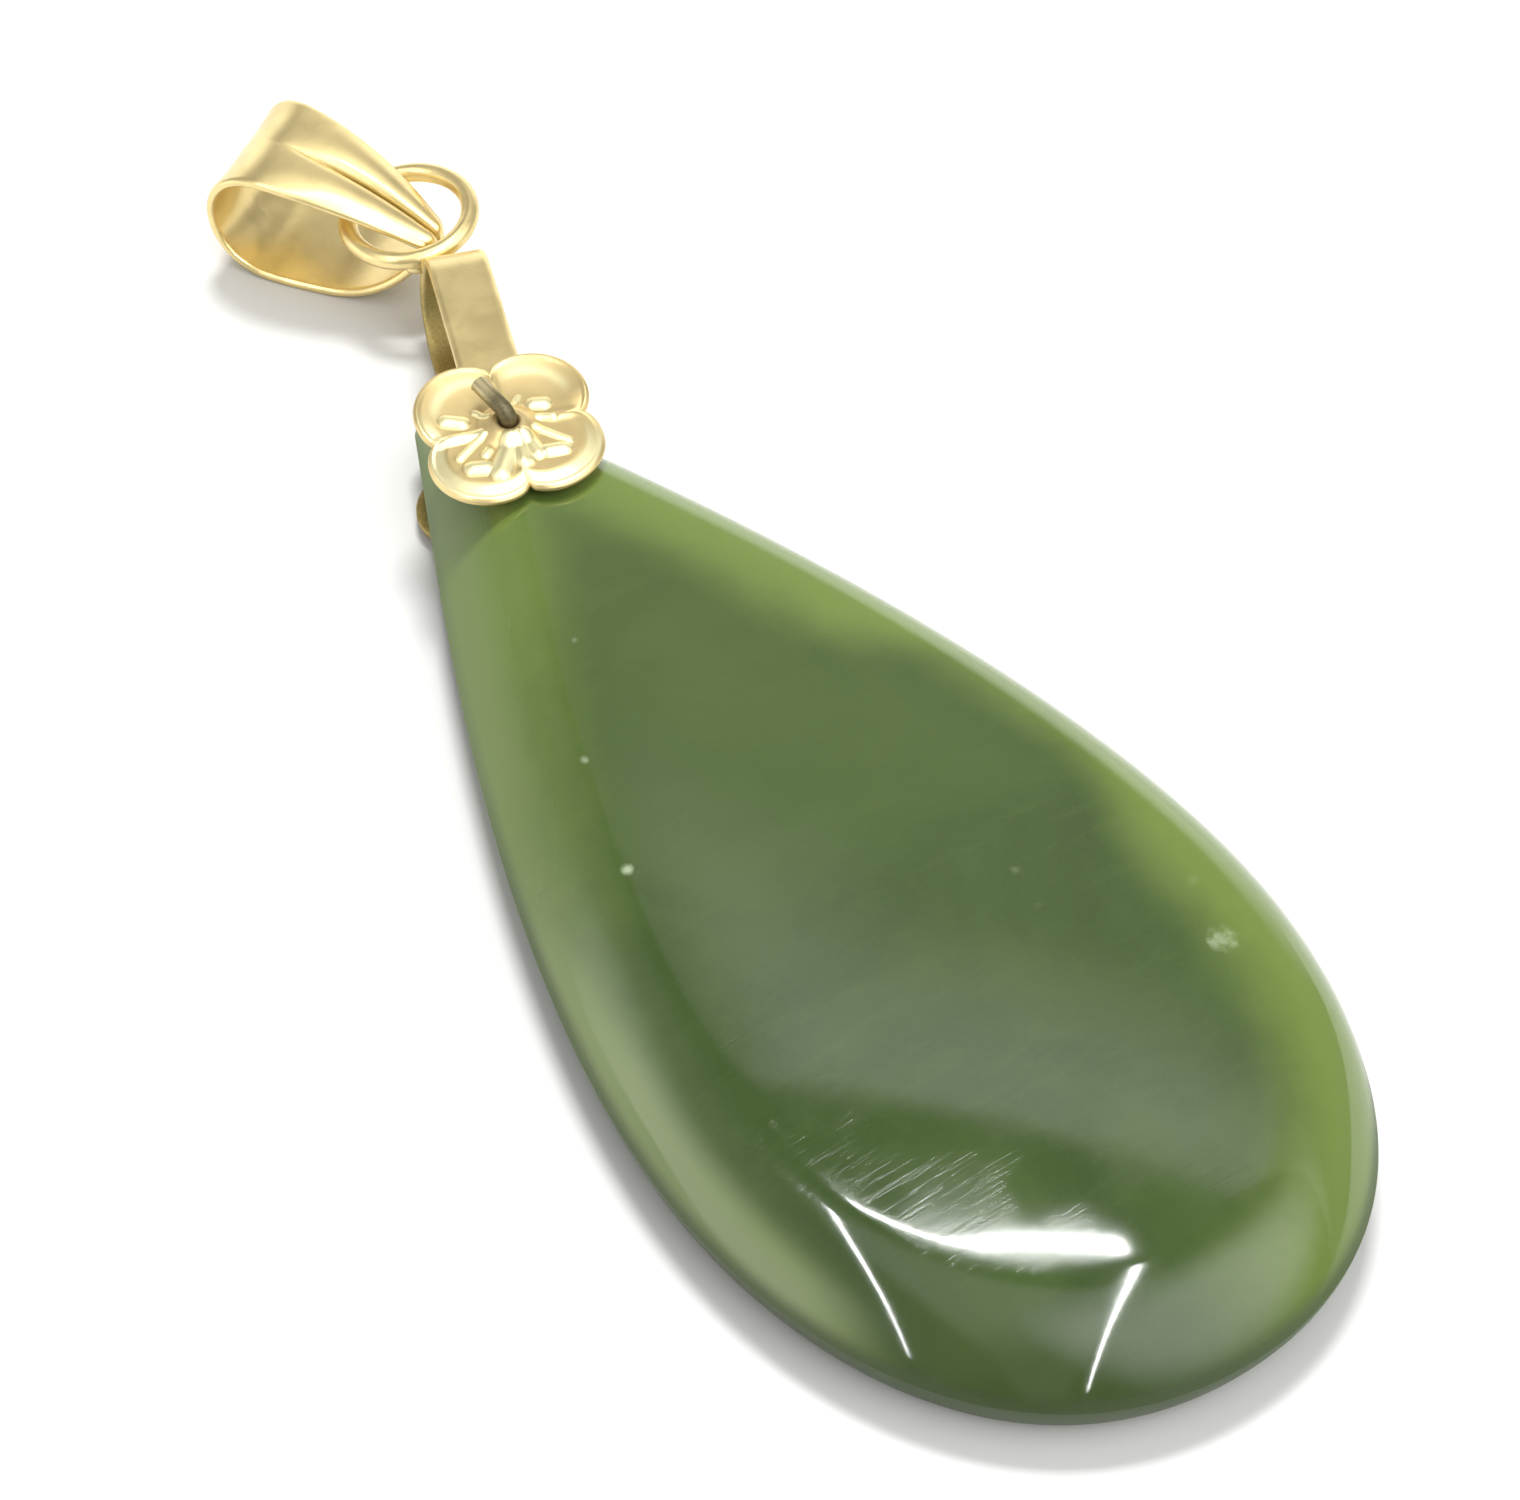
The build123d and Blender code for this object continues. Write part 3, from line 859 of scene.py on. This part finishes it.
def made_by(tree, name, mesh, **sizes):
    """The plain mesh that a tree makes of a mesh for these sizes, as a new object."""
    holder = add_object(name + "_holder", mesh)
    modifier = holder.modifiers.new("make", "NODES")
    modifier.node_group = tree
    for item in tree.interface.items_tree:
        key = item.name.replace(" ", "_")
        if item.item_type == "SOCKET" and item.in_out == "INPUT" and key in sizes:
            modifier[item.identifier] = sizes[key]
    depsgraph = bpy.context.evaluated_depsgraph_get()
    result = bpy.data.meshes.new_from_object(holder.evaluated_get(depsgraph), depsgraph=depsgraph)
    holder.modifiers.remove(modifier)
    bpy.data.objects.remove(holder)
    result.name = name
    return add_object(name, result)


def wire_through(name, points_mm, radius_mm, corner_mm, material):
    """A wire through points, with rounded corners."""
    line = bpy.data.meshes.new(name + "_line")
    edges = [(i, i + 1) for i in range(len(points_mm) - 1)]
    line.from_pydata([tuple(float(c) * MM for c in point) for point in points_mm], edges, [])
    return made_by(wire_tree(), name, line, Wire_radius=radius_mm * MM, Corner_radius=corner_mm * MM,
                   Sides=WIRE_SIDES, Material=material)


def bent_pin():
    """The pin: a wire through the whole stack, bent over in front, with a flat head at the back."""
    top = FLOWER_BASE + PIN_RISE
    end = HOLE + np.array([sin(PIN_TURN), cos(PIN_TURN)]) * PIN_LENGTH
    points = [(*HOLE, PIN_BASE + 0.1), (*HOLE, top), (*end, top + PIN_END_RISE)]
    wire = wire_through("pin_wire", points, PIN_WIRE, PIN_CORNER, PIN_GOLD)
    spots = [vertex.co for vertex in wire.data.vertices]
    from_hole = np.array([hypot(spot.x / MM - HOLE[0], spot.y / MM - HOLE[1]) for spot in spots])
    # Painted shade on the wire near the hole, where it goes in under the flower's face
    set_attribute(wire, "painted_shade", 0.9 * smoothstep(1.15, 0.45, from_hole))
    rows = [circle_row(angles_of(40), radius, PIN_BASE + up, HOLE) for radius, up in PIN_HEAD]
    return join("bent_pin", [wire, closed_grid("pin_head", rows)])


# Ribbons: the strap and the bail

EDGE_STEPS = 4


def spaced(steps, closer):
    """Places from -1 to 1, closer together in the middle where closer is above 1."""
    even = np.linspace(-1, 1, steps)
    return np.sign(even) * np.abs(even) ** closer


def evenly(points, step, closed=False):
    """Points along a line, one every step."""
    points = np.array(points, dtype=float)
    if closed:
        points = np.vstack([points, points[:1]])
    lengths = np.r_[0, np.cumsum(np.linalg.norm(np.diff(points, axis=0), axis=1))]
    count = max(int(round(lengths[-1] / step)), 8)
    places = np.linspace(0, lengths[-1], count, endpoint=not closed)
    return np.column_stack([np.interp(places, lengths, part) for part in points.T])


def softened(points, rounds, closed=False):
    """A line with its kinks eased out. An open line keeps its ends."""
    for _ in range(rounds):
        middle = (np.roll(points, 1, axis=0) + 2 * points + np.roll(points, -1, axis=0)) / 4
        if not closed:
            middle[0], middle[-1] = points[0], points[-1]
        points = middle
    return points


def directions(path, closed):
    """The way that a line runs at each of its points."""
    if closed:
        before, after = np.roll(path, 1, axis=0), np.roll(path, -1, axis=0)
    else:
        before, after = np.vstack([path[:1], path[:-1]]), np.vstack([path[1:], path[-1:]])
    way = after - before
    return way / np.linalg.norm(way, axis=1)[:, None]


def band_section(number, widths, half, places, shape):
    """Points (across, out) round a flat band: its face, a round edge, its back and the other edge."""
    left, right = widths
    span, middle = (left + right) / 2 - half, (right - left) / 2
    turn = np.linspace(0, pi, EDGE_STEPS + 2)[1:-1]
    section = []
    for side in (1, -1):
        section += [(middle + span * p, side * half + shape(number, p)) for p in places[::side]]
        out = shape(number, side)
        section += [(middle + side * span + side * half * sin(t), side * half * cos(t) + out)
                    for t in turn]
    return np.array(section)


def ribbon(name, path, widths, thick, closed, shape, places):
    """A strip along a path in the plane of its side view, as (along, up) points.

    widths gives, for each path point, how far the strip reaches to its left and right. places run across it
    from -1 to 1. shape is a function of (path number, place) that says how far the face stands out.
    """
    way = directions(path, closed)
    rows = []
    for number, base in enumerate(path):
        section = band_section(number, widths[number], thick / 2, places, shape)
        rows.append(np.column_stack([
            base[0] - way[number, 1] * section[:, 1],
            section[:, 0],
            base[1] + way[number, 0] * section[:, 1],
        ]))
    columns = len(rows[0])
    faces = grid_faces(len(path), columns, close_rows=closed, close_columns=True)
    if not closed:
        faces += [tuple(range(columns)), tuple((len(path) - 1) * columns + i for i in range(columns))]
    return add_mesh(name, np.vstack(rows), faces)


def strap_path():
    """The strip's middle in side view: up the back leg, round the fold, down the front leg."""
    half = STRAP_THICK / 2
    back, front = back_high[2] + STRAP_ROOM + half, FLOWER_BASE - STRAP_ROOM - half
    radius = FOLD_HEIGHT / 2 - half
    turn = np.linspace(-pi / 2, pi / 2, FOLD_STEPS)
    bend = np.column_stack([FOLD_START + radius * np.cos(turn), FOLD_HEIGHT / 2 + radius * np.sin(turn)])
    back_leg = [(LEG_END, back), (BACK_STRAIGHT, back)]
    front_leg = [(FRONT_STRAIGHT, front), (LEG_END, front)]
    return softened(evenly(np.vstack([back_leg, bend, front_leg]), STRAP_STEP), STRAP_ROUNDS)


def strap_shape(number, across):
    """The strip's front is a little wavy and dished, as a hand-bent one is."""
    on_front = 1 - float(smoothstep(*FRONT_TO_FOLD, number))
    return 0.02 * across ** 2 + 0.02 * on_front * sin(number * 0.31 + 0.9 * across + 0.4)


def strap_strip():
    """The folded strip, wider at its lower left, with painted shade inside its fold and low down."""
    path = strap_path()[::-1]
    lower = 1 - smoothstep(*STRAP_FLARE_RANGE, path[:, 1])
    widths = [(STRAP_HALF + STRAP_LEFT_FLARE * low, STRAP_HALF - STRAP_RIGHT_TRIM) for low in lower]
    places = spaced(STRAP_STEPS, 1.0)
    strip = ribbon("strap_strip", path, widths, STRAP_THICK, False, strap_shape, places)
    # Painted shade on the strip's inner face and on its lower parts
    inside = np.zeros((len(path), 2 * (len(places) + EDGE_STEPS)))
    inner = len(places) + EDGE_STEPS
    inside[:, inner:inner + len(places)] = 0.8
    inside = np.maximum(inside, 0.85 * smoothstep(*STRAP_SHADE_RANGE, path[:, 1])[:, None])
    set_attribute(strip, "painted_shade", inside.ravel())
    return strip


def ring_centre():
    """The ring's middle as (along, across, up) from the strap's foot."""
    along = FOLD_START + sqrt(RING_SEAT ** 2 - RING_RISE ** 2) + RING_RADIUS
    return np.array([along, RING_SIDE, FOLD_HEIGHT / 2 + RING_RISE])


def wire_ring():
    """A wire ring, very slightly out of round, as a hand-closed one is."""
    section = angles_of(24)
    rows = []
    for angle in angles_of(96):
        wire = RING_WIRE * (1 + 0.02 * sin(3 * angle))
        reach = RING_RADIUS * (1 + 0.008 * cos(2 * angle + 0.6)) + wire * np.cos(section)
        around = reach * cos(angle), reach * sin(angle)
        rows.append(np.column_stack([*around, wire * np.sin(section)]))
    return place(closed_grid("ring", rows), turned(RING_TILT, ring_centre(), "X"))


def solder_drop():
    """The flat drop of solder between ring and fold, as rings of points and two poles."""
    joint = ring_centre() - (RING_RADIUS + 0.12, 0, 0.24)
    around, rings = 28, 15
    rows = [circle_row(angles_of(around), sin(down), cos(down))
            for down in np.linspace(0, pi, rings + 2)[1:-1]]
    points = np.vstack([*rows, (0, 0, 1), (0, 0, -1)])
    faces = grid_faces(rings, around, close_columns=True)
    for start, pole in ((0, rings * around), ((rings - 1) * around, rings * around + 1)):
        faces += [(start + step, start + (step + 1) % around, pole) for step in range(around)]
    return add_mesh("solder", joint + points * SOLDER_SIZE, faces)


def strap_with_ring():
    """The folded strip over the tip, with the wire ring soldered to the outside of its fold."""
    whole = join("strap_with_ring_body", [strap_strip(), wire_ring(), solder_drop()])
    return place(whole, standing(STRAP_TURN, HOLE))


def arc_to(level, start, end_along, end_up, steps):
    """An arc that leaves a level line smoothly and runs back to an end point."""
    rise, run = abs(level - end_up), start - end_along
    radius = (run ** 2 + rise ** 2) / (2 * rise)
    sweep = asin(run / radius)
    if rise > radius:
        sweep = pi - sweep
    angles = np.linspace(0, sweep, steps)
    sign = 1 if end_up > level else -1
    return np.column_stack([start - radius * np.sin(angles), level + sign * radius * (1 - np.cos(angles))])


def bail_outline():
    """The outside of the bail's loop in its side view, from above the tip to the fold and back under."""
    round_radius = BAIL_HEIGHT / 2
    fold = BAIL_LENGTH - round_radius
    turn = np.linspace(pi / 2, -pi / 2, 60)[1:]
    nose_turn = np.linspace(-pi / 2, -3 * pi / 2, 16)[1:-1]
    middle, small = (BAIL_TIP_TOP + BAIL_TIP_BOTTOM) / 2, (BAIL_TIP_TOP - BAIL_TIP_BOTTOM) / 2
    return np.vstack([
        arc_to(BAIL_HEIGHT, fold, BAIL_NOSE, BAIL_TIP_TOP, 60)[::-1],
        np.column_stack([fold + round_radius * np.cos(turn), round_radius + round_radius * np.sin(turn)]),
        arc_to(0, fold - BAIL_FLAT, BAIL_NOSE, BAIL_TIP_BOTTOM, 50),
        np.column_stack([BAIL_NOSE + BAIL_NOSE * np.cos(nose_turn), middle + small * np.sin(nose_turn)]),
    ])


def lean_over(bail):
    """Skews the bail, whose right side keeps its place at the fold."""
    for vertex in bail.data.vertices:
        kept = 1 - (vertex.co.x / MM / BAIL_LENGTH) ** 6 if vertex.co.y > 0 else 1
        vertex.co.x += vertex.co.y * BAIL_SKEW * kept


def ring_floor_place():
    """The ring's middle on the floor plane."""
    along, across, _ = ring_centre()
    sine, cosine = sin(STRAP_TURN), cos(STRAP_TURN)
    return HOLE + np.array([sine, cosine]) * along + np.array([cosine, -sine]) * across


def ribbon_bail():
    """The bail: a ribbon folded into a tapered loop, with two lobes and a groove in front."""
    outside = softened(evenly(bail_outline(), 0.09, closed=True), 3, closed=True)
    way = directions(outside, True)
    path = outside + np.column_stack([way[:, 1], -way[:, 0]]) * BAIL_THICK / 2
    along = path[:, 0]
    share = np.clip(along / BAIL_LENGTH, 0, 1)
    half = BAIL_TIP_HALF + (BAIL_HEIGHT / 2 - BAIL_TIP_HALF) * share + BAIL_BULGE * 4 * share * (1 - share)
    on_front = smoothstep(*BAIL_FRONT_RANGE, path[:, 1] - 0.1 * share)
    grooved = smoothstep(*GROOVE_RANGE, along) * on_front
    lobed_rise = LOBE_RISE * smoothstep(*LOBE_RANGE, along) * on_front
    flare = FLARE * smoothstep(*FLARE_RANGE, along)

    def shape(number, across):
        lobe = lobed_rise[number] * (1 - (2 * abs(across) - 0.95) ** 2) - lobed_rise[number] * 0.6
        groove = GROOVE_DEPTH * grooved[number] * exp(-abs(across / GROOVE_WIDTH) ** 1.3)
        return lobe - groove + flare[number] * across ** 2 - 0.5 * flare[number]

    places = spaced(BAIL_STEPS, BAIL_CLOSER)
    made = ribbon("ribbon_bail", path, [(w, w) for w in half], BAIL_THICK, True, shape, places)
    # Painted shade along the middle of the groove
    painted_shade = np.zeros((len(path), 2 * (BAIL_STEPS + EDGE_STEPS)))
    painted_shade[:, :BAIL_STEPS] = grooved[:, None] * np.exp(-(places / 0.06) ** 2)
    set_attribute(made, "painted_shade", painted_shade.ravel())
    lean_over(made)
    return place(made, standing(-BAIL_TURN, ring_floor_place() + BAIL_TIP_FROM_RING))


# Camera: the photograph's point of view

IMAGE_WIDTH = 1520
FOCAL_PIXELS = 4200.0
SENSOR = 36.0
CLIP_METRES = (0.005, 10)
CAMERA_PLACE = (-43.51, -54.65, 96.49)
TARGET = (1.69, 12.97, 0.0)


def add_camera():
    data = bpy.data.cameras.new("photo_camera")
    data.sensor_fit = "HORIZONTAL"
    data.sensor_width = SENSOR
    data.lens = FOCAL_PIXELS / IMAGE_WIDTH * SENSOR
    data.clip_start, data.clip_end = CLIP_METRES
    camera = add_object("photo_camera", data)
    camera.location = Vector(CAMERA_PLACE) * MM
    camera.rotation_euler = (Vector(TARGET) - Vector(CAMERA_PLACE)).to_track_quat("-Z", "Y").to_euler()
    bpy.context.scene.camera = camera


# Studio box, its open front towards the camera. Its lengths are per CEILING, which is in metres

BOX_TURN = radians(34.0)
AHEAD = Vector((sin(BOX_TURN), cos(BOX_TURN), 0))
BESIDE = Vector((cos(BOX_TURN), -sin(BOX_TURN), 0))
CEILING = 0.5
RIGHT_PATCH = (-0.35, 0.62, 0.70)
STUDIO_WHITE = (1.0, 1.0, 0.99)

# The light of the box's walls, each a product of smooth steps along one way: from, to, light at each end
STUDIO_PATCHES = {
    "back wall": [("ahead", 0.45, 0.49), ("ahead", 0.50, 0.85, 1.5, 0.3), ("beside", -0.30, -0.12),
                  ("beside", 0.30, 0.55, 1.0, 0.3)],
    "low at the back": [("up", 0.25, 0.50, 1.3, 0.0), ("forward", 0.70, 0.90)],
    "left patch": [("forward", 0.12, 0.42, 1.65, 0.0), ("forward", -0.8, -0.45),
                   ("up", 0.15, 0.65, 1.0, 0.08), ("side", -0.75, -0.4, 1.0, 0.0)],
    "right patch": [("to the right", 0.70, 0.97, 0.0, 2.3)],
    "overhead": [("ahead", -1.4, -0.3, 0.25, 0.8), ("ahead", 0.08, 0.22, 1.0, 0.0), ("beside", -0.6, -0.35),
                 ("beside", 0.2, 0.35, 1.0, 0.0)],
    "all round": [("side", -0.7, -0.2, 0.42, 0.22)],
}
STRIP_WIDTH = 0.012

# Thin lamps under the ceiling: name, both ends as (ahead, beside), radiance
STRIPS = [
    ("far_strip", (0.250, -0.18), (0.333, 0.19), 100.0),
    ("left_strip", (0.09, -0.35), (-2.76, -2.03), 75.0),
    ("right_strip", (0.27, 0.21), (-2.83, 0.57), 75.0),
]
SOFT_LAMP_SIZE = (0.16, 0.10)
SOFT_LAMP_ELEVATION = radians(60.0)
SOFT_LAMP_LIGHT = 0.62
FLOOR_HALF = 400.0
FLOOR_TONES = (0.67, 0.67, 0.66), (0.70, 0.70, 0.695)


def in_box(tree, direction):
    """Each way of a direction by name: its parts, where it meets the ceiling, and its nearness to a patch."""
    x, y, up = parts_of(tree, direction)
    sine, cosine = sin(BOX_TURN), cos(BOX_TURN)
    forward = total(tree, product(tree, x, sine), product(tree, y, cosine))
    side = calculate(tree, "SUBTRACT", product(tree, x, cosine), product(tree, y, sine))
    above = most(tree, up, 0.02)
    towards = node(tree, "ShaderNodeCombineXYZ")
    for part, socket in zip((forward, side, up), towards.inputs):
        feed(tree, part, socket)
    return {
        "forward": forward, "side": side, "up": up,
        "ahead": calculate(tree, "DIVIDE", forward, above),
        "beside": calculate(tree, "DIVIDE", side, above),
        "to the right": measured_to(tree, "DOT_PRODUCT", towards.outputs[0], RIGHT_PATCH),
    }


def add_studio():
    """A white box round the pendant: dim walls with a bright back and a light patch at each side."""
    world = bpy.data.worlds.new("studio_box")
    world.use_nodes = True
    tree = world.node_tree
    background = tree.nodes["Background"]
    direction = node(tree, "ShaderNodeTexCoord").outputs["Generated"]
    ways = in_box(tree, direction)
    patches = [product(tree, *(spread(tree, ways[way], *numbers) for way, *numbers in steps))
               for steps in STUDIO_PATCHES.values()]
    feed_all(tree, background, Strength=total(tree, *patches), Color=STUDIO_WHITE)
    bpy.context.scene.world = world


def area_lamp(name, size, energy, place_m, turn):
    """A rectangle of light, which the camera doesn't see."""
    data = bpy.data.lights.new(name, "AREA")
    data.shape = "RECTANGLE"
    data.size, data.size_y = size
    data.energy = energy
    lamp = add_object(name, data)
    lamp.location = place_m
    lamp.rotation_euler = turn
    lamp.visible_camera = False
    return lamp


def strip_light(name, start, end, radiance):
    """A long thin lamp that shows on gloss only."""
    ends = [(AHEAD * spot[0] + BESIDE * spot[1] + Vector((0, 0, 1))) * CEILING for spot in (start, end)]
    long = ends[1] - ends[0]
    size = long.length, STRIP_WIDTH * CEILING
    lamp = area_lamp(name, size, radiance * pi * size[0] * size[1], (ends[0] + ends[1]) / 2,
                     (0, 0, atan2(long.y, long.x)))
    lamp.visible_diffuse = False


def soft_lamp():
    """A broad lamp behind the pendant that gives the soft shadow in front. Reflections leave it out."""
    level, rise = cos(SOFT_LAMP_ELEVATION), sin(SOFT_LAMP_ELEVATION)
    towards = Vector((sin(BOX_TURN) * level, cos(BOX_TURN) * level, rise))
    energy = SOFT_LAMP_LIGHT * pi / rise * 4 * CEILING ** 2
    lamp = area_lamp("soft_lamp", SOFT_LAMP_SIZE, energy, towards * CEILING,
                     (-towards).to_track_quat("-Z", "Y").to_euler())
    lamp.visible_glossy = False


def add_floor():
    corners = [(x * FLOOR_HALF, y * FLOOR_HALF, 0) for x, y in ((-1, -1), (1, -1), (1, 1), (-1, 1))]
    floor = add_mesh("floor", corners, [(0, 1, 2, 3)], smooth=False)
    material, tree, shader, vector = new_finish("pale_floor")
    tone = noise(tree, stretched(tree, vector, 0, (30, 30, 30)), 1.0, 2.0)
    feed_all(tree, shader, Base_Color=mix_colour(tree, tone, *FLOOR_TONES), Roughness=0.7)
    floor.data.materials.append(material)


add_camera()
add_studio()
for strip in STRIPS:
    strip_light(*strip)
soft_lamp()
add_floor()

for piece, material, replaced, slot_name in (
    (jade_stone(), JADE, "jade_drop", "jade"),
    (flower_cap(), GOLD_PLATE, "front_flower", "gold"),
    (back_plate(), GOLD, "back_flower", "gold"),
    (strap_with_ring(), GOLD, "strap_with_ring", "gold"),
    (ribbon_bail(), GOLD, "bail", "gold"),
    (bent_pin(), PIN_GOLD, "pin", "pin_gold"),
):
    face_out(piece)
    piece.data.materials.append(material)
    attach(piece, "root")
    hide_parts(replaced)

view = bpy.context.scene.view_settings
view.view_transform = "Standard"
view.look = "None"
